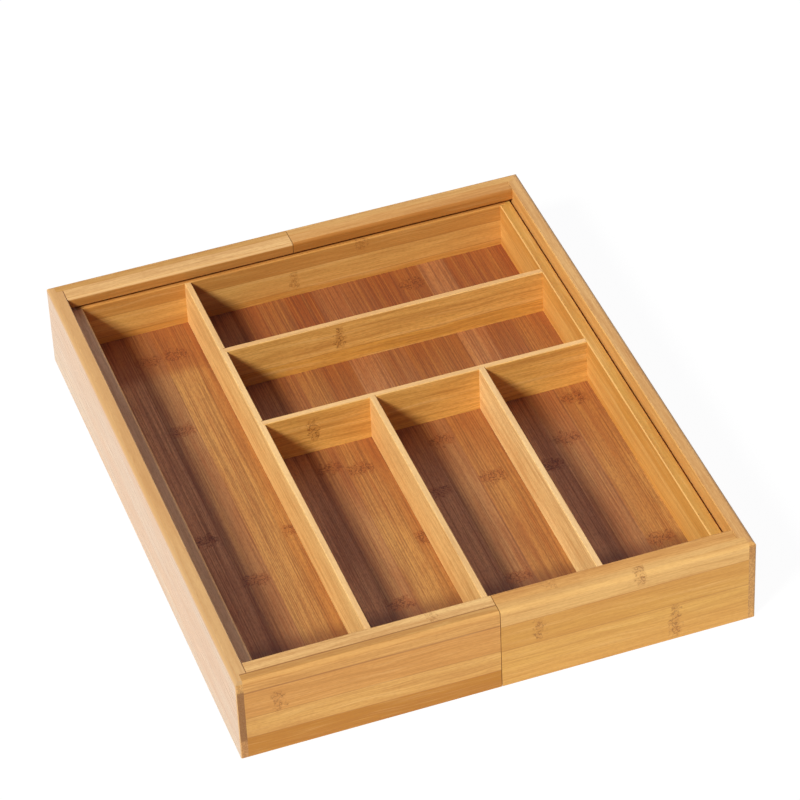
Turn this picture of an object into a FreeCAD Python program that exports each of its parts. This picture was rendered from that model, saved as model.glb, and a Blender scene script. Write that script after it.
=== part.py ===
# Extendable cutlery tray, closed. Millimetres. +X right, +Y back, +Z up.
# Origin: middle of the closed footprint, on the surface the tray stands on.
# Two equal U-shaped wings (the left one is the right one turned half a turn
# about Z) hold a six-compartment centre tray under their lips; each wing
# slides outward along X and opens one more compartment beside the centre tray.
import FreeCAD
import Part
import os

os.makedirs("parts", exist_ok=True)

# closed outside size
closed_width = 350.0        # along X, wings pushed together
closed_depth = 428.0        # along Y
wing_height = 64.0          # rim of the wings above the drawer floor

# wing boards
side_wall_t = 10.0          # side wall of a wing
board_t = 8.0               # front and back board of a wing
corner_lap_t = 5.0          # skin of side wall left in front of a board's end
rail_w = 10.5               # lip rail, how far it reaches in over the centre tray
rail_h = 8.5                # lip rail, how tall
wing_floor_t = 4.0          # floor panel of a wing
wing_floor_lift = 4.0       # underside of that panel above the drawer floor
wing_groove_d = 4.0         # groove that holds it
edge_round = 3.0            # rounded outer rim of the wings
corner_round = 1.0          # eased upright corners of the wings
rail_round = 2.0            # rounded upper edge of a lip rail, on the tray's side
inner_round = 0.8           # eased inner edges

# running clearances
seam_gap = 0.4              # between the two wings when closed
side_play = 1.5             # centre tray to the wings' side walls, each side
end_play = 1.5              # centre tray to the wings' front and back boards
under_play = 0.4            # centre tray above the wings' floor panels
lip_play = 2.0              # centre tray's rim below the lip rails
panel_slack = 0.5           # floor panels stop short of the groove bottom

# centre tray
centre_side_t = 8.5         # left and right wall
centre_end_t = 10.0         # front and back wall
centre_lap_t = 4.0          # skin of side wall in front of an end wall's end
centre_floor_t = 5.0        # floor panel
centre_floor_top = 19.0     # its upper face above the drawer floor
centre_groove_d = 3.5       # groove that holds it
centre_round = 1.0          # eased edges of the walls

# dividers
divider_t = 4.5             # all dividers
divider_round = 0.6         # eased upper edges
column_count = 4            # equal columns across the centre tray
rear_row_depth = 78.75      # each of the two rows behind the long ones
tongue_l = 2.5              # divider end let into a wall
tongue_stop = 5.0           # the housing stops this far below the rim
dado_d = 1.5                # divider end let into another divider, open at the top

reach = 2.0                 # how far a cutting block passes the face it cuts

# positions that follow
half_w = closed_width / 2.0
half_d = closed_depth / 2.0
wing_x0 = seam_gap / 2.0
side_x = half_w - side_wall_t
board_y = half_d - board_t
lip_y = board_y - rail_w
lip_z = wing_height - rail_h
panel_z1 = wing_floor_lift + wing_floor_t

centre_x = side_x - side_play
centre_y = board_y - end_play
centre_z0 = panel_z1 + under_play
centre_z1 = lip_z - lip_play
room_x = centre_x - centre_side_t
room_y = centre_y - centre_end_t
centre_panel_z0 = centre_floor_top - centre_floor_t
tongue_z1 = centre_z1 - tongue_stop

column_w = (2.0 * room_x - (column_count - 1) * divider_t) / column_count
pitch = column_w + divider_t
long_x = -room_x + pitch - divider_t / 2.0
short_x = [long_x + pitch, long_x + 2.0 * pitch]
rear_cross_y = room_y - rear_row_depth - divider_t / 2.0
front_cross_y = rear_cross_y - rear_row_depth - divider_t


def block(x0, x1, y0, y1, z0, z1):
    """Box between two corners, given as pairs of limits along X, Y and Z."""
    low = FreeCAD.Vector(min(x0, x1), min(y0, y1), min(z0, z1))
    return Part.makeBox(abs(x1 - x0), abs(y1 - y0), abs(z1 - z0), low)


def edges_along(shape, axis, fixed):
    """Straight edges that run along one axis at the given values of the other two."""
    found = []
    for edge in shape.Edges:
        ends = [v.Point for v in edge.Vertexes]
        if len(ends) != 2:
            continue
        span = ends[1] - ends[0]
        if abs(getattr(span, axis)) < span.Length - 1e-6:
            continue
        if all(abs(getattr(ends[0], name) - value) < 1e-6 for name, value in fixed.items()):
            found.append(edge)
    return found


def eased(shape, radius, picks):
    """Rounds the picked edges, each pick being (axis, {other axes: value})."""
    chosen = []
    for axis, fixed in picks:
        chosen += edges_along(shape, axis, fixed)
    return shape.makeFillet(radius, chosen)


def half_turn(shape):
    """The same piece on the other wing."""
    turned = shape.copy()
    turned.rotate(FreeCAD.Vector(0, 0, 0), FreeCAD.Vector(0, 0, 1), 180)
    return turned


def mirrored(shape, normal):
    """The same piece on the other side of the middle plane."""
    return shape.mirror(FreeCAD.Vector(0, 0, 0), normal)


def save(name, shape):
    shape.exportStep("parts/" + name + ".step")


# wing

def wing_side_wall():
    """Full-depth wall: rounded rim, a rabbet at each end, a groove for the floor."""
    plank = block(side_x, half_w, -half_d, half_d, 0, wing_height)
    ends = [{"y": -half_d}, {"y": half_d}]
    long_rim = eased(plank, edge_round, [("y", {"x": half_w, "z": wing_height})])
    long_rim = eased(long_rim, inner_round, [("y", {"x": side_x, "z": wing_height})])
    end_rims = eased(plank, edge_round, [("x", {"z": wing_height, **end}) for end in ends])
    corners = eased(plank, corner_round, [("z", {"x": half_w, **end}) for end in ends])
    wall = long_rim.common(end_rims).common(corners)
    for s in (-1, 1):
        lap_x = half_w - corner_lap_t
        end_y = half_d + reach
        rabbet = block(side_x - reach, lap_x, s * board_y, s * end_y, -reach, wing_height + reach)
        wall = wall.cut(rabbet)
    groove_x = side_x + wing_groove_d
    groove = block(side_x - reach, groove_x, -board_y, board_y, wing_floor_lift, panel_z1)
    return wall.cut(groove)


def wing_board():
    """Front board: its end sits in the side wall's rabbet, its other end makes the seam."""
    board = block(wing_x0, half_w - corner_lap_t, -half_d, -board_y, 0, wing_height)
    board = eased(board, edge_round, [("x", {"y": -half_d, "z": wing_height})])
    groove_y = -board_y - wing_groove_d
    groove = block(0, half_w, groove_y, -board_y + reach, wing_floor_lift, panel_z1)
    return board.cut(groove)


def wing_rail():
    """Lip rail glued inside the front board, over the centre tray's rim."""
    rail = block(wing_x0, side_x, -board_y, -lip_y, lip_z, wing_height)
    rail = eased(rail, rail_round, [("x", {"y": -lip_y, "z": wing_height})])
    return eased(rail, inner_round, [("x", {"y": -lip_y, "z": lip_z})])


def wing_floor():
    """Floor panel held on three edges; the fourth is open at the seam."""
    edge_x = side_x + wing_groove_d - panel_slack
    edge_y = board_y + wing_groove_d - panel_slack
    return block(wing_x0, edge_x, -edge_y, edge_y, wing_floor_lift, panel_z1)


across = FreeCAD.Vector(0, 1, 0)
wing_pieces = {
    "side_wall": wing_side_wall(),
    "front_board": wing_board(),
    "back_board": mirrored(wing_board(), across),
    "front_rail": wing_rail(),
    "back_rail": mirrored(wing_rail(), across),
    "floor": wing_floor(),
}
other_end = {"front_board": "back_board", "back_board": "front_board",
             "front_rail": "back_rail", "back_rail": "front_rail"}
for piece, shape in wing_pieces.items():
    save("right_wing_" + piece, shape)
    save("left_wing_" + other_end.get(piece, piece), half_turn(shape))


# centre tray: walls and floor

def housing(x0, x1, y0, y1):
    """Stopped housing for the tongue of a divider, from the floor up."""
    return block(x0, x1, y0, y1, centre_floor_top, tongue_z1)


def centre_side_wall(cross_ys):
    """Right wall; cross_ys are the dividers let into its inner face."""
    wall = block(room_x, centre_x, -centre_y, centre_y, centre_z0, centre_z1)
    rim = [("y", {"x": centre_x, "z": centre_z1}), ("y", {"x": room_x, "z": centre_z1})]
    for y in (-centre_y, centre_y):
        rim.append(("z", {"x": centre_x, "y": y}))
    wall = eased(wall, centre_round, rim)
    for s in (-1, 1):
        lap_x = centre_x - centre_lap_t
        end_y = centre_y + reach
        rabbet = block(room_x - reach, lap_x, s * room_y, s * end_y, 0, wing_height)
        wall = wall.cut(rabbet)
    groove_x = room_x + centre_groove_d
    groove = block(room_x - reach, groove_x, -room_y, room_y, centre_panel_z0, centre_floor_top)
    wall = wall.cut(groove)
    for y in cross_ys:
        half = divider_t / 2.0
        wall = wall.cut(housing(room_x - reach, room_x + tongue_l, y - half, y + half))
    return wall


def centre_end_wall(divider_xs):
    """Front wall; divider_xs are the dividers let into its inner face."""
    end_x = centre_x - centre_lap_t
    wall = block(-end_x, end_x, -centre_y, -room_y, centre_z0, centre_z1)
    wall = eased(wall, centre_round, [("x", {"y": -room_y, "z": centre_z1}),
                                      ("x", {"y": -centre_y, "z": centre_z1})])
    groove_y = -room_y - centre_groove_d
    groove = block(-half_w, half_w, groove_y, -room_y + reach, centre_panel_z0, centre_floor_top)
    wall = wall.cut(groove)
    for x in divider_xs:
        half = divider_t / 2.0
        wall = wall.cut(housing(x - half, x + half, -room_y - tongue_l, -room_y + reach))
    return wall


left_from_right = FreeCAD.Vector(1, 0, 0)
save("centre_right_wall", centre_side_wall([rear_cross_y, front_cross_y]))
save("centre_left_wall", mirrored(centre_side_wall([]), left_from_right))
save("centre_front_wall", centre_end_wall([long_x] + short_x))
save("centre_back_wall", mirrored(centre_end_wall([long_x]), across))

panel_x = room_x + centre_groove_d - panel_slack
panel_y = room_y + centre_groove_d - panel_slack
save("centre_floor", block(-panel_x, panel_x, -panel_y, panel_y, centre_panel_z0, centre_floor_top))


# centre tray: dividers

def divider_across(y, x0, x1):
    """Divider along X from x0 to x1, its upper edges eased."""
    half = divider_t / 2.0
    bar = block(x0, x1, y - half, y + half, centre_floor_top, centre_z1)
    return eased(bar, divider_round, [("x", {"y": y - half, "z": centre_z1}),
                                      ("x", {"y": y + half, "z": centre_z1})])


def divider_along(x, y0, y1):
    """Divider along Y from y0 to y1, its upper edges eased."""
    half = divider_t / 2.0
    bar = block(x - half, x + half, y0, y1, centre_floor_top, centre_z1)
    return eased(bar, divider_round, [("y", {"x": x - half, "z": centre_z1}),
                                      ("y", {"x": x + half, "z": centre_z1})])


def tongue(x0, x1, y0, y1):
    """The part of a divider's end that enters a housing."""
    return block(x0, x1, y0, y1, centre_floor_top, tongue_z1)


def long_divider():
    """Runs from front to back wall; the cross dividers are let into its right face."""
    bar = divider_along(long_x, -room_y, room_y)
    half = divider_t / 2.0
    for s in (-1, 1):
        bar = bar.fuse(tongue(long_x - half, long_x + half, s * room_y, s * (room_y + tongue_l)))
    bar = bar.removeSplitter()
    face_x = long_x + half
    for y in (rear_cross_y, front_cross_y):
        dado = block(face_x - dado_d, face_x + reach, y - half, y + half, 0, wing_height)
        bar = bar.cut(dado)
    return bar


def cross_divider(y, notch_xs):
    """Runs from the long divider to the right wall; short ones are let into its front."""
    half = divider_t / 2.0
    bar = divider_across(y, long_x + half - dado_d, room_x)
    bar = bar.fuse(tongue(room_x, room_x + tongue_l, y - half, y + half)).removeSplitter()
    for x in notch_xs:
        face_y = y - half
        dado = block(x - half, x + half, face_y - reach, face_y + dado_d, 0, wing_height)
        bar = bar.cut(dado)
    return bar


def short_divider(x):
    """Runs from the front wall into the front cross divider."""
    half = divider_t / 2.0
    bar = divider_along(x, -room_y, front_cross_y - half + dado_d)
    return bar.fuse(tongue(x - half, x + half, -room_y - tongue_l, -room_y)).removeSplitter()


save("long_divider", long_divider())
save("rear_cross_divider", cross_divider(rear_cross_y, []))
save("front_cross_divider", cross_divider(front_cross_y, short_x))
save("left_short_divider", short_divider(short_x[0]))
save("right_short_divider", short_divider(short_x[1]))
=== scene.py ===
import bpy
import math
from mathutils import Matrix, Vector

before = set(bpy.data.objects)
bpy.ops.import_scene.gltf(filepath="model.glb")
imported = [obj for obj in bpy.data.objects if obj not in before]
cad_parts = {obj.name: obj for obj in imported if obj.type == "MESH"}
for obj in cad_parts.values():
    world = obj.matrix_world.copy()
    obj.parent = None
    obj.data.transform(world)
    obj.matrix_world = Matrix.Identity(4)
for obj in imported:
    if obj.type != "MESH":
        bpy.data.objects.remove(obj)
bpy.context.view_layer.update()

scene = bpy.context.scene


# Wing side walls. Each is one bamboo board as long as the tray is deep, glued up
# from flat strips, with its rim rounded over and its two ends cut to a rabbet
# that takes the front and back boards, so that its end grain shows at the corners.

def linear(code):
    """Colour written as sRGB hex, as the linear value that a socket takes."""
    parts = [int(code[i:i + 2], 16) / 255.0 for i in (1, 3, 5)]
    parts = [c / 12.92 if c <= 0.04045 else ((c + 0.055) / 1.055) ** 2.4 for c in parts]
    return (*parts, 1.0)


def add_node(tree, kind, settings=(), links=(), **values):
    """Adds one node: attribute settings, socket values by name or number, links into it."""
    node = tree.nodes.new(kind)
    for name, value in dict(settings).items():
        setattr(node, name, value)
    for name, value in values.items():
        node.inputs[name.replace("_", " ")].default_value = value
    for socket, source in dict(links).items():
        if hasattr(source, "is_output"):
            tree.links.new(source, node.inputs[socket])
        else:
            node.inputs[socket].default_value = source
    return node


def arithmetic(tree, operation, *terms):
    """One sum on sockets and plain numbers, as the output of a Math node."""
    node = add_node(tree, "ShaderNodeMath", {"operation": operation}, enumerate(terms))
    return node.outputs[0]


# tones of bamboo strips, from the pale outside of the cane to the steamed inside
pale = "#EFC27E"
honey = "#E6B160"
gold = "#DB9F4C"
amber = "#C98842"
toast = "#AE6E30"
umber = "#84502A"
glue = "#B47A3E"
scar_brown = "#8C5628"


def board_place(tree, along, across, lean):
    """Millimetres along the fibres, across the strips and through the board, from
    the object's own coordinates; lean is how far the fibres climb per millimetre."""
    place = add_node(tree, "ShaderNodeTexCoord")
    metres = add_node(tree, "ShaderNodeSeparateXYZ", links={0: place.outputs["Object"]})
    axes = [along, across, 3 - along - across]
    run, rise, depth = [arithmetic(tree, "MULTIPLY", metres.outputs[a], 1000.0) for a in axes]
    return run, arithmetic(tree, "MULTIPLY_ADD", run, lean, rise), depth


def board_faces(tree, along):
    """How much a place is on sawn end grain, on the face that looks up, and on an eased
    edge, which is where the normal is along no axis. The limits are cosines of the angle
    to an axis."""
    place = add_node(tree, "ShaderNodeTexCoord")
    facing = add_node(tree, "ShaderNodeSeparateXYZ", links={0: place.outputs["Normal"]})
    sizes = [arithmetic(tree, "ABSOLUTE", facing.outputs[a]) for a in (0, 1, 2)]
    largest = arithmetic(tree, "MAXIMUM", sizes[0], arithmetic(tree, "MAXIMUM", sizes[1], sizes[2]))
    end = spread(tree, sizes[along], 0.80, 0.95, 0.0, 1.0)
    top = spread(tree, facing.outputs[2], 0.95, 0.99, 0.0, 1.0)
    eased = spread(tree, largest, 0.90, 0.985, 1.0, 0.0)
    return end, top, eased


def fibre_noise(tree, run, rise, depth, length, width, detail=2.0, offset=0.0):
    """Noise drawn out along the fibres: length and width of a streak in millimetres."""
    point = add_node(tree, "ShaderNodeCombineXYZ", links={
        0: arithmetic(tree, "MULTIPLY_ADD", run, 1.0 / length, offset),
        1: arithmetic(tree, "MULTIPLY", rise, 1.0 / width),
        2: arithmetic(tree, "MULTIPLY", depth, 1.0 / width)})
    noise = add_node(tree, "ShaderNodeTexNoise", links={0: point.outputs[0]},
                     Scale=1.0, Detail=detail, Roughness=0.6)
    return noise.outputs[0]


def spread(tree, value, low, high, to_low, to_high, smooth=True):
    """Turns low to high into to_low to to_high, and holds the two ends outside them."""
    kind = "SMOOTHSTEP" if smooth else "LINEAR"
    node = add_node(tree, "ShaderNodeMapRange", {"interpolation_type": kind},
                    {0: value, 1: low, 2: high, 3: to_low, 4: to_high})
    return node.outputs[0]


def mix(tree, factor, below, above):
    """One colour laid over another, as thickly as factor says."""
    node = add_node(tree, "ShaderNodeMix", {"data_type": "RGBA"}, {0: factor, 6: below, 7: above})
    return node.outputs[2]


def joint_ramp(tree, value, low, high, strips, glued=True):
    """Strips of given tones, each listed with where it ends in mm, and the glue between
    them. Where there is none, as on end grain, one tone runs into the next."""
    glue_half = 0.35            # drawn wider than the real 0.1 mm line, to show
    blend_half = 1.0
    ramp = add_node(tree, "ShaderNodeValToRGB",
                    links={0: spread(tree, value, low, high, 0.0, 1.0, smooth=False)})
    stops = []
    start = low
    for end, tone in strips:
        inset = glue_half if glued else blend_half
        stops.append((start + inset, tone))
        stops.append((end - inset, tone))
        if glued and end < high:
            stops.append((end, glue))
        start = end
    stops = sorted(((place - low) / (high - low), tone) for place, tone in stops)
    elements = ramp.color_ramp.elements
    for position, tone in stops[2:]:
        elements.new(position)
    for element, (position, tone) in zip(elements, stops):
        element.position = position
        element.color = linear(tone)
    return ramp.outputs[0]


def node_scars(tree, run, rise, depth, marks, half_length, seed):
    """Where nodes of the cane crossed a strip: a ragged band about 10 mm long, full of
    curled fibres, round which the others bend. Each mark is (run, rise, half width) in
    mm. Gives the band, its curls and the bend."""
    reach = 7.0                 # how far the ends of the band are pulled to and fro
    ragged = fibre_noise(tree, run, rise, depth, 3.0, 3.5, 1.0, seed + 29.0)
    pull = arithmetic(tree, "MULTIPLY_ADD", ragged, 2.0 * reach, -reach)
    band = 0.0
    for mark_run, mark_rise, half_width in marks:
        du = arithmetic(tree, "ADD", arithmetic(tree, "SUBTRACT", run, mark_run), pull)
        du = arithmetic(tree, "MULTIPLY", du, 1.0 / half_length)
        dv = arithmetic(tree, "MULTIPLY_ADD", rise, 1.0 / half_width, -mark_rise / half_width)
        dv = arithmetic(tree, "POWER", arithmetic(tree, "ABSOLUTE", dv), 4.0)
        square = arithmetic(tree, "MULTIPLY_ADD", du, du, dv)
        band = arithmetic(tree, "MAXIMUM", band, spread(tree, square, 0.1, 1.2, 1.0, 0.0))
    curl = fibre_noise(tree, run, rise, depth, 2.6, 2.6, 1.0, seed + 23.0)
    curl = arithmetic(tree, "ABSOLUTE", arithmetic(tree, "SUBTRACT", curl, 0.5))
    curls = arithmetic(tree, "MULTIPLY", spread(tree, curl, 0.0, 0.075, 1.0, 0.0), band)
    bend = fibre_noise(tree, run, rise, depth, 5.0, 3.0, 1.0, seed)
    bend = arithmetic(tree, "MULTIPLY", arithmetic(tree, "SUBTRACT", bend, 0.5), band)
    return band, curls, bend


def lay_over(tree, tone, layers, strength=1.0):
    """Lays tones over the ground where a pattern is dark or light. A layer is a pattern,
    the two values that it eases between, its share at each of them, and its tone."""
    for pattern, low, high, at_low, at_high, layer_tone in layers:
        share = spread(tree, pattern, low, high, at_low, at_high)
        share = arithmetic(tree, "MULTIPLY", share, strength)
        tone = mix(tree, share, tone, linear(layer_tone))
    return tone


def lacquer(tree, tone, fine, curls, roughness):
    """A thin clear lacquer, rougher over the dark fibres than over the pale ones, with
    0.2 mm of relief in which the fibres and the curls of the scars can be felt."""
    shader = tree.nodes["Principled BSDF"]
    tree.links.new(tone, shader.inputs["Base Color"])
    tree.links.new(spread(tree, fine, 0.3, 0.7, *roughness), shader.inputs["Roughness"])
    shader.inputs["IOR"].default_value = 1.5
    shader.inputs["Specular IOR Level"].default_value = 0.3
    relief = arithmetic(tree, "MULTIPLY_ADD", curls, -0.5, fine)
    bump = add_node(tree, "ShaderNodeBump", links={"Height": relief},
                    Strength=0.25, Distance=0.0002)
    tree.links.new(bump.outputs[0], shader.inputs["Normal"])


def bamboo(name, along, across, strips, ends, marks=(), lean=0.0, low=0.0, grain=1.0, seed=0.0,
           top=None, top_grain=0.0, edge=pale, edge_light_share=0.2, glued_at=None, scarred=1.0,
           roughness=(0.52, 0.40)):
    """Laminated, steamed and clear-lacquered bamboo: long fibres, a satin sheen, tones
    that change from strip to strip, eased edges in a tone of their own, which is painted
    light, and small scars where the nodes of the cane were. lean is how far the fibres
    climb per millimetre, low is where the lowest strip starts, top is the tone of the
    sawn edge that looks up, where it differs, and glued_at is where on that edge a dark
    line of glue shows. The tone of the eased edges, edge, and its share are a painted
    highlight where that tone is paler than the board and painted shade where it is darker."""
    material = bpy.data.materials.new(name)
    material.use_nodes = True
    tree = material.node_tree
    run, rise, depth = board_place(tree, along, across, lean)
    end, upward, eased = board_faces(tree, along)
    band, curls, bend = 0.0, 0.0, 0.0
    if marks:
        scar_half = 4.2         # half the length of a scar along the fibres, in mm
        band, curls, bend = node_scars(tree, run, rise, depth, marks, scar_half, seed)

    # lengths and widths in mm: fibre bundles, which are 0.3 to 0.5 mm wide on the real
    # strips and are drawn wider to show, the streaks they make, and clouds of tone
    wander = fibre_noise(tree, run, rise, depth, 60.0, 16.0, 1.0, seed + 3.0)
    bent = arithmetic(tree, "MULTIPLY_ADD", wander, 5.0, rise)
    bent = arithmetic(tree, "MULTIPLY_ADD", bend, 7.0, bent)
    fine = fibre_noise(tree, run, bent, depth, 30.0, 0.75, 2.0, seed + 7.0)
    streak = fibre_noise(tree, run, bent, depth, 110.0, 4.5, 2.0, seed + 11.0)
    drift = fibre_noise(tree, run, rise, depth, 190.0, 18.0, 1.0, seed + 17.0)
    flecks = fibre_noise(tree, run, bent, depth, 3.2, 0.9, 1.0, seed + 37.0)

    # end grain, with the cut ends of its vessels about 0.7 mm apart
    end_tone = joint_ramp(tree, rise, low, ends[-1][0], ends, glued=False)
    place = add_node(tree, "ShaderNodeTexCoord")
    vessels = add_node(tree, "ShaderNodeTexNoise", links={0: place.outputs["Object"]},
                       Scale=1400.0, Detail=1.0)
    vessels = spread(tree, vessels.outputs[0], 0.4, 0.62, 0.45, 0.0)
    end_tone = mix(tree, vessels, end_tone, linear(umber))

    tone = joint_ramp(tree, rise, low, strips[-1][0], strips)
    if top:
        tone = mix(tree, upward, tone, linear(top))
    grain = arithmetic(tree, "MULTIPLY_ADD", upward, top_grain, grain)
    tone = lay_over(tree, tone, [(drift, 0.35, 0.65, 0.26, 0.0, amber)])
    tone = lay_over(tree, tone, [
        (streak, 0.30, 0.56, 0.32, 0.0, toast), (streak, 0.52, 0.75, 0.0, 0.30, pale),
        (fine, 0.32, 0.60, 0.28, 0.0, toast), (fine, 0.55, 0.75, 0.0, 0.20, pale),
        (flecks, 0.30, 0.58, 0.20, 0.0, toast)], grain)
    # The eased edges take the edge tone. This is painted light: a highlight where the tone is paler
    # than the board, shade where it is darker.
    for mask, share, mask_tone in ((band, 0.24 * scarred, toast),
                                   (curls, 0.72 * scarred, scar_brown), (eased, edge_light_share, edge)):
        tone = mix(tree, arithmetic(tree, "MULTIPLY", mask, share), tone, linear(mask_tone))
    if glued_at is not None:
        line_half, line_fade = 0.2, 0.9     # drawn wider than the real 0.1 mm, to show
        line = arithmetic(tree, "ABSOLUTE", arithmetic(tree, "SUBTRACT", depth, glued_at))
        line = spread(tree, line, line_half, line_fade, 0.65, 0.0)
        line = arithmetic(tree, "MULTIPLY", line, upward)
        tone = mix(tree, line, tone, linear(umber))
    tone = mix(tree, end, tone, end_tone)
    lacquer(tree, tone, fine, curls, roughness)
    return material


def finish_node(node, material):
    """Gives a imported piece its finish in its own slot."""
    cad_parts[node].material_slots[0].material = material


along_x, along_y, up = 0, 1, 2
rim_z = 64.0                    # height of the wings' rim, in mm

# The left wall's strips are a pale, greyish tone. This is a painted sheen that stands in for the
# lamp's glare on its lit outer face. The eased edges of both walls carry painted light in their
# edge tone.
finish_node("left_wing_side_wall", bamboo(
    "bamboo_left_side_wall", along_y, up,
    strips=[(14.0, "#C9AD8E"), (34.0, "#CBAC8C"), (61.0, "#CBAC8C"), (rim_z, "#C8A47A")],
    ends=[(14.0, "#C58E52"), (56.0, "#9C6C3A"), (rim_z, "#DBA45C")], grain=0.4, seed=1.0,
    top="#DAAC70", top_grain=0.2, edge="#C69A62", edge_light_share=0.7, roughness=(0.34, 0.26)))
finish_node("right_wing_side_wall", bamboo(
    "bamboo_right_side_wall", along_y, up,
    strips=[(8.0, gold), (30.0, honey), (51.0, gold), (rim_z, "#D9A35C")],
    ends=[(8.0, "#DBA45C"), (51.0, "#CE9A58"), (rim_z, "#C48E4E")], seed=2.0,
    top="#DAA868", edge_light_share=0.15))


# Front and back boards of the wings, 8 mm bamboo glued up from strips 10 to 20 mm
# tall. One end sits in the side wall's rabbet, the other makes the seam with the
# other wing's board in the middle of the tray.

board_ends = [(20.0, toast), (42.0, amber), (rim_z, toast)]
finish_node("left_wing_front_board", bamboo(
    "bamboo_left_front_board", along_x, up,
    strips=[(14.5, "#B97B20"), (31.0, "#DEA85A"), (52.2, "#D89B50"), (53.2, "#AE743F"),
            (rim_z, "#DBA258")],
    ends=board_ends, marks=[(-148.0, 39.5, 9.5)], lean=0.01, seed=4.0, top="#CA9A54",
    glued_at=-206.3))
finish_node("right_wing_front_board", bamboo(
    "bamboo_right_front_board", along_x, up,
    strips=[(30.0, "#DDA854"), (51.0, "#D59D49"), (rim_z, "#E5B46B")],
    ends=board_ends, marks=[(26.0, 40.5, 10.0), (119.0, 16.0, 15.0), (96.0, 60.0, 7.0)],
    lean=0.0, grain=0.8, seed=5.0))
finish_node("left_wing_back_board", bamboo(
    "bamboo_left_back_board", along_x, up,
    strips=[(21.0, gold), (43.0, honey), (rim_z, gold)], ends=board_ends,
    marks=[(-60.0, 33.0, 9.0)], seed=6.0, top="#CD9A52"))
finish_node("right_wing_back_board", bamboo(
    "bamboo_right_back_board", along_x, up,
    strips=[(20.0, honey), (40.0, gold), (rim_z, honey)], ends=board_ends,
    marks=[(70.0, 12.0, 9.0)], seed=7.0, top="#DFB068"))


# Lip rails, square bamboo sticks glued along the inside of the front and back
# boards, which hold the centre tray down and guide it. Each is cut from one strip,
# so it has few tones: one each on its sides, its upper face and its eased edges.
# The edges' tone is painted light: a highlight where it is paler than the sides,
# shade where it is darker.

rail_ends = [(rim_z, toast)]
rail_looks = {                  # tones of the sides, the top and the edges, and the scars
    "left_wing_front_rail": (pale, pale, gold, [(-41.0, rim_z, 9.0)]),
    "left_wing_back_rail": ("#C88A42", "#EFC280", "#F8D498", []),
    "right_wing_front_rail": ("#DEA65C", "#DEA65C", amber, [(38.0, rim_z, 9.0)]),
    "right_wing_back_rail": ("#BE7C34", "#D49A54", toast, []),
}
for seed, (node, (side_tone, top_tone, edge_tone, marks)) in enumerate(rail_looks.items(), 20):
    finish_node(node, bamboo(
        "bamboo_" + node, along_x, up, strips=[(rim_z, side_tone)], ends=rail_ends, marks=marks,
        seed=float(seed), top=top_tone, edge=edge_tone, edge_light_share=0.5, scarred=0.45))


# Walls of the centre tray, bamboo boards a little lower than the wings. The front
# and back walls sit between the side walls, in their rabbets.

wall_rim_z = 53.5               # height of the centre tray's rim, in mm
wall_ends = [(wall_rim_z, toast)]
wall_looks = {                  # direction, strips, scars, tone of the rim, share of painted light on the edges
    # The left wall's pale rim is painted light. It lifts the shadow that the wing's side wall casts
    # on it.
    "centre_left_wall": (along_y, [(30.0, amber), (wall_rim_z, gold)], [], "#F0BE84", 0.6),
    "centre_right_wall": (
        along_y, [(24.0, "#D59948"), (40.0, "#DFA95A"), (wall_rim_z, "#D59948")], [],
        "#CD9B4A", 0.5),
    "centre_front_wall": (along_x, [(30.0, gold), (wall_rim_z, honey)], [], None, 0.6),
    # The back wall's rim lies under the back rails. Its amber tone is painted shade, and its edges
    # get no painted highlight.
    "centre_back_wall": (along_x, [(24.0, gold), (41.0, honey), (wall_rim_z, "#D2964A")],
                         [(-1.0, 32.0, 9.0), (50.0, 49.0, 6.0)], amber, 0.0),
}
for seed, (node, (along, strips, marks, rim_tone, edge_light_share)) in enumerate(wall_looks.items(), 30):
    finish_node(node, bamboo(
        "bamboo_" + node, along, up, strips=strips, ends=wall_ends, marks=marks,
        seed=float(seed), top=rim_tone, edge_light_share=edge_light_share, scarred=0.7))


# Dividers, 4.5 mm bamboo slats with eased upper edges. One long slat runs from
# front to back; two cross slats and two short ones are let into it and each other.

foot_z = 10.0                   # where the dividers stand on the floor panel, in mm
divider_looks = {               # direction, strips, scars, tone of the upper edge
    "long_divider": (along_y, [(wall_rim_z, "#F5CB86")], [], "#F8CC8A"),
    "rear_cross_divider": (along_x, [(30.0, "#E7AA4C"), (wall_rim_z, "#F1B961")],
                           [(4.0, 41.0, 10.0)], "#ECBC7C"),
    "front_cross_divider": (along_x, [(wall_rim_z, "#EBB45C")], [(-43.0, 38.0, 11.0)], "#F2C484"),
    "left_short_divider": (along_y, [(wall_rim_z, pale)], [], "#F8CE8C"),
    "right_short_divider": (along_y, [(wall_rim_z, "#F5CE8E")], [], "#FAD294"),
}
# The eased upper edges of the dividers take the pale edge tone, which is a painted highlight.
for seed, (node, (along, strips, marks, rim_tone)) in enumerate(divider_looks.items(), 40):
    finish_node(node, bamboo(
        "bamboo_" + node, along, up, strips=strips, ends=wall_ends, marks=marks, low=foot_z,
        grain=1.3, seed=float(seed), top=rim_tone, top_grain=-0.7, edge_light_share=0.45, scarred=1.25))


# Floor panels, thin bamboo board of strips laid front to back, steamed darker
# than the walls. The centre tray's panel and the wings' panels sit in grooves.

panel_dark = "#663824"
panel_red = "#974F26"
scar_dark = "#542A1A"
tan = "#C08B4C"
russet = "#B88044"
nut = "#AE7A4A"
# A paler tone for the strips that lie in the shadow of the left wall and the dividers. This is
# painted light that lifts those shadows.
shade_lifting_tan = "#D69D66"
strip_w = 20.0
strip_0 = -170.3                # where the first strip starts on the left, in mm


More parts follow.
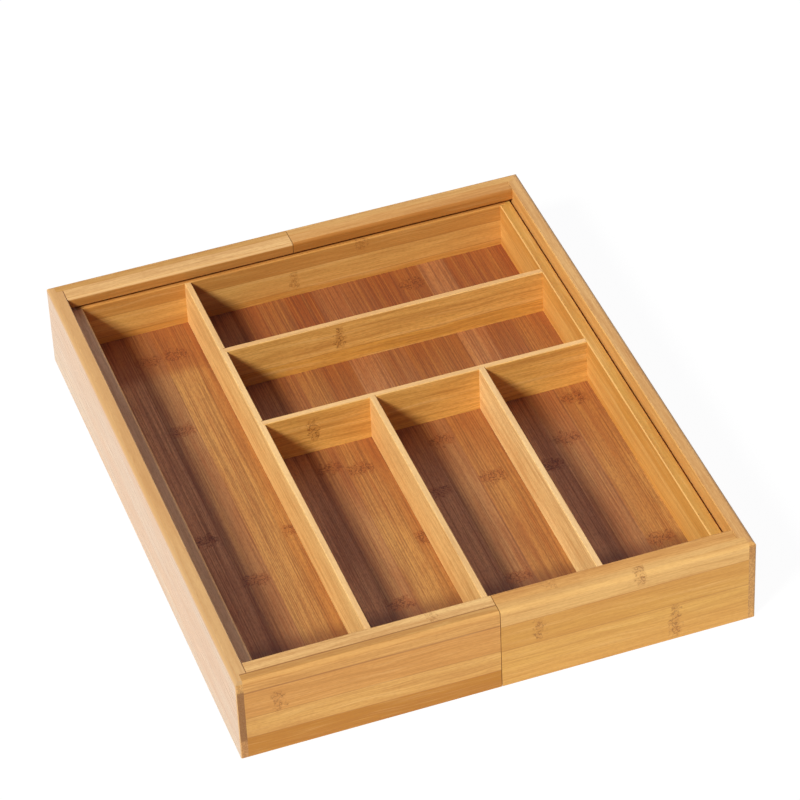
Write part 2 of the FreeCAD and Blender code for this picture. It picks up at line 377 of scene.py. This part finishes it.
def bamboo_panel(name, tones, marks, seed):
    """Carbonised bamboo panel: each strip has its own brown, with close fibre streaks and
    the ragged scars of the cane's nodes. The heat left it redder towards the back of the
    tray. It is dark along its front edge, which is painted shade of the front wall. The
    lacquer is thin and fairly matt."""
    material = bpy.data.materials.new(name)
    material.use_nodes = True
    tree = material.node_tree
    run, rise, depth = board_place(tree, along_y, along_x, 0.0)
    count = arithmetic(tree, "MULTIPLY_ADD", rise, 1.0 / strip_w, -strip_0 / strip_w)
    number = arithmetic(tree, "FLOOR", count)
    within = arithmetic(tree, "FRACT", count)
    ramp = add_node(tree, "ShaderNodeValToRGB",
                    links={0: arithmetic(tree, "MULTIPLY", count, 1.0 / len(tones))})
    ramp.color_ramp.interpolation = "CONSTANT"
    elements = ramp.color_ramp.elements
    for index in range(2, len(tones)):
        elements.new(index / len(tones))
    for index, tone in enumerate(tones):
        elements[index].position = index / len(tones)
        elements[index].color = linear(tone)

    # lengths and widths in mm, as on the boards, but each strip is cut at another place
    shifted = arithmetic(tree, "MULTIPLY_ADD", number, 17.0, run)
    scar_half = 7.0             # the scars are longer here than on the boards
    band, curls, bend = node_scars(tree, run, rise, depth, marks, scar_half, seed)
    bent = arithmetic(tree, "MULTIPLY_ADD", bend, 6.0, rise)
    fine = fibre_noise(tree, shifted, bent, depth, 95.0, 0.8, 2.0, seed + 5.0)
    streak = fibre_noise(tree, shifted, bent, depth, 130.0, 4.2, 2.0, seed + 9.0)
    mottle = fibre_noise(tree, run, bent, depth, 16.0, 3.2, 2.0, seed + 15.0)
    flecks = fibre_noise(tree, run, bent, depth, 3.2, 0.9, 1.0, seed + 21.0)
    drift = fibre_noise(tree, run, rise, depth, 110.0, 30.0, 1.0, seed + 13.0)

    # redder at the very back in the left compartment, from the middle on in the others,
    # and more so on some strips than on others; in mm from the middle of the tray
    divider_x = -78.0
    very_back, middle, back_half = (136.0, 152.0), (-70.0, 20.0), (35.0, 170.0)
    in_left = spread(tree, rise, divider_x - 2.0, divider_x + 2.0, 1.0, 0.0)
    left_red = arithmetic(tree, "MULTIPLY", in_left, spread(tree, run, *very_back, 0.0, 0.66))
    other_red = arithmetic(tree, "ADD", spread(tree, run, *middle, 0.0, 0.50),
                           spread(tree, run, *back_half, 0.0, 0.38))
    elsewhere = arithmetic(tree, "SUBTRACT", 1.0, in_left)
    red = arithmetic(tree, "MULTIPLY_ADD", elsewhere, other_red, left_red)
    golden_ratio = 0.618        # spreads the strips' numbers evenly between 0 and 1
    scatter = arithmetic(tree, "FRACT", arithmetic(tree, "MULTIPLY", number, golden_ratio))
    scatter = arithmetic(tree, "MULTIPLY_ADD", scatter, 0.45, 0.70)
    red = arithmetic(tree, "MULTIPLY", red, scatter)
    colour = mix(tree, red, ramp.outputs[0], linear(panel_red))

    joint = arithmetic(tree, "ABSOLUTE", arithmetic(tree, "SUBTRACT", within, 0.5))
    front_painted_shade = (-150.0, -132.0)   # where the dark band along the front edge fades out; it is painted shade of the front wall
    colour = lay_over(tree, colour, [
        (drift, 0.35, 0.62, 0.30, 0.0, panel_red),
        (streak, 0.30, 0.55, 0.34, 0.0, panel_red), (streak, 0.55, 0.75, 0.0, 0.18, gold),
        (mottle, 0.34, 0.56, 0.20, 0.0, panel_red), (fine, 0.36, 0.54, 0.44, 0.0, panel_dark),
        (fine, 0.54, 0.72, 0.0, 0.20, gold), (flecks, 0.32, 0.56, 0.26, 0.0, panel_dark),
        (joint, 0.46, 0.5, 0.0, 0.16, panel_dark), (run, *front_painted_shade, 0.60, 0.0, panel_dark)])
    for mask, share, mask_tone in ((band, 0.42, panel_red), (curls, 0.72, scar_dark)):
        colour = mix(tree, arithmetic(tree, "MULTIPLY", mask, share), colour, linear(mask_tone))
    lacquer(tree, colour, fine, curls, (0.60, 0.45))
    return material


# Strips 1, 5, 9 and 13 take the paler shade-lifting tone: painted light in the shadows of the
# walls.
floor_tones = [nut, shade_lifting_tan, nut, tan, russet, shade_lifting_tan, nut, tan, russet,
               shade_lifting_tan, nut, russet, russet, shade_lifting_tan, nut, russet, tan, nut]
scar_half_w = 10.5              # half as wide as a strip, and a little over
floor_marks = [                 # how far back each scar is, in mm, and the number of its strip
    (82.0, 2), (-80.0, 2), (162.0, 2), (163.0, 3), (-41.0, 4), (-31.0, 1), (7.0, 6), (0.0, 7),
    (-81.0, 8), (-136.0, 6), (7.0, 10), (-41.0, 11), (-43.0, 9), (-140.0, 10), (-23.0, 14),
    (15.0, 15), (-140.0, 15), (-45.0, 13), (175.0, 12)]
scars = [(y, strip_0 + (number + 0.5) * strip_w, scar_half_w) for y, number in floor_marks]
finish_node("centre_floor", bamboo_panel(
    "steamed_bamboo_centre_floor", floor_tones, scars, seed=3.3))
for seed, node in enumerate(("left_wing_floor", "right_wing_floor"), 5):
    side = -1.0 if node.startswith("left") else 1.0
    wing_scars = [(y, side * x, scar_half_w) for y, x in ((60.0, 140.3), (-90.0, 100.3))]
    finish_node(node, bamboo_panel(
        "steamed_bamboo_" + node, floor_tones, wing_scars, seed=seed + 0.4))


# Studio: a pale table, one large soft lamp high on the left and a little in front, a
# weak reflector opposite it, surroundings that look white and light the shadows a
# little blue, and the camera that took the photograph, far off with a long lens.

white_share = 0.94              # how much of the table's colour the camera sees as plain white
table = bpy.data.materials.new("pale_table")
table.use_nodes = True
tree = table.node_tree
tree.nodes.clear()
rays = add_node(tree, "ShaderNodeLightPath")
seen = arithmetic(tree, "MAXIMUM", rays.outputs["Is Camera Ray"], rays.outputs["Is Glossy Ray"])
seen = arithmetic(tree, "MAXIMUM", seen, rays.outputs["Is Transmission Ray"])
matt = add_node(tree, "ShaderNodeBsdfDiffuse", Color=linear("#F2F2F0"))
plain = add_node(tree, "ShaderNodeEmission", Strength=1.02)
blend = add_node(tree, "ShaderNodeMixShader", links={
    0: arithmetic(tree, "MULTIPLY", seen, white_share), 1: matt.outputs[0], 2: plain.outputs[0]})
add_node(tree, "ShaderNodeOutputMaterial", links={0: blend.outputs[0]})

table_side = 12.0               # metres, so that none of its edges is in view
bpy.ops.mesh.primitive_plane_add(size=table_side)
table_top = bpy.context.object
table_top.name = "table_top"
table_top.data.materials.append(table)

world = bpy.data.worlds.new("studio")
scene.world = world
world.use_nodes = True
tree = world.node_tree
tree.nodes.clear()
rays = add_node(tree, "ShaderNodeLightPath")
seen = arithmetic(tree, "MAXIMUM", rays.outputs["Is Camera Ray"],
                  rays.outputs["Is Transmission Ray"])
fill = add_node(tree, "ShaderNodeBackground", Strength=0.23, Color=linear("#D4CEFF"))
backdrop = add_node(tree, "ShaderNodeBackground", Strength=1.0, Color=linear("#FFFFFF"))
blend = add_node(tree, "ShaderNodeMixShader",
                 links={0: seen, 1: fill.outputs[0], 2: backdrop.outputs[0]})
add_node(tree, "ShaderNodeOutputWorld", links={0: blend.outputs[0]})

lamp_travel = Vector((1.02, 0.62, -1.0))
lamp_data = bpy.data.lights.new("key_lamp", "SUN")
lamp_data.energy = 4.03
lamp_data.color = (0.98, 1.0, 0.926)
lamp_data.angle = math.radians(12.5)
lamp = bpy.data.objects.new("key_lamp", lamp_data)
lamp.rotation_euler = lamp_travel.to_track_quat("-Z", "Y").to_euler()
scene.collection.objects.link(lamp)

reflector_travel = Vector((-0.6, -0.8, -0.7))
reflector_data = bpy.data.lights.new("reflector", "SUN")
reflector_data.energy = 0.5
reflector_data.angle = math.radians(70.0)
reflector = bpy.data.objects.new("reflector", reflector_data)
reflector.rotation_euler = reflector_travel.to_track_quat("-Z", "Y").to_euler()
scene.collection.objects.link(reflector)

camera_data = bpy.data.cameras.new("photo_camera")
camera_data.sensor_width = 36.0
camera_data.lens = 179.69
camera_data.clip_end = 20.0
camera = bpy.data.objects.new("photo_camera", camera_data)
turn = math.radians(-17.953)    # the side that it looks from, from straight in front
height = math.radians(39.811)   # how steeply it looks down
roll = math.radians(-2.743)     # how far it is tilted sideways
away = Vector((math.sin(turn) * math.cos(height), -math.cos(turn) * math.cos(height),
               math.sin(height)))
level = (-away).cross(Vector((0.0, 0.0, 1.0))).normalized()
upright = level.cross(-away)
right = level * math.cos(roll) + upright * math.sin(roll)
top = upright * math.cos(roll) - level * math.sin(roll)
camera_place = (-0.61981, -1.94401, 1.77247)
camera_turn = Matrix((right, top, away)).transposed().to_4x4()
camera.matrix_world = Matrix.Translation(camera_place) @ camera_turn
scene.collection.objects.link(camera)
scene.camera = camera

scene.view_settings.view_transform = "Standard"
